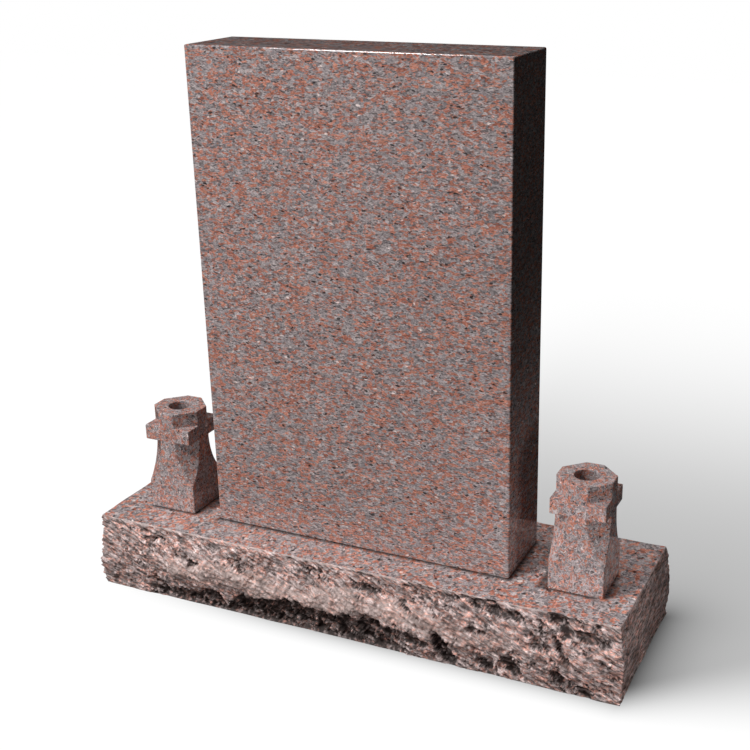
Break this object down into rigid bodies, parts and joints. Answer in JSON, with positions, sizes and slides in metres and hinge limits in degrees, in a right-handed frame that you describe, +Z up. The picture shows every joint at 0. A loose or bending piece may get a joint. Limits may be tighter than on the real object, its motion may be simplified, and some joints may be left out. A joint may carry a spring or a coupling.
{
  "type": "upright headstone",
  "caption": "Upright polished granite tablet on a rock-pitched granite base, flanked by small square flower vases cut as crosses.",
  "frame": {"origin": "on the ground, under the middle of the base", "axes": "+Z up, +X along the base's length to the right of someone facing the tablet, and the tablet's front looks along -Y"},
  "size_m": [1.0922, 0.3482, 1.0671],
  "materials": {
    "polished_granite": "red granite, polished",
    "pitched_granite": "red granite, rock pitched sides under a polished top"
  },
  "bodies": {
    "root": {"base": "pitched_granite", "tablet": "polished_granite", "vase_left": "polished_granite", "vase_right": "polished_granite"}
  },
  "joints": []
}
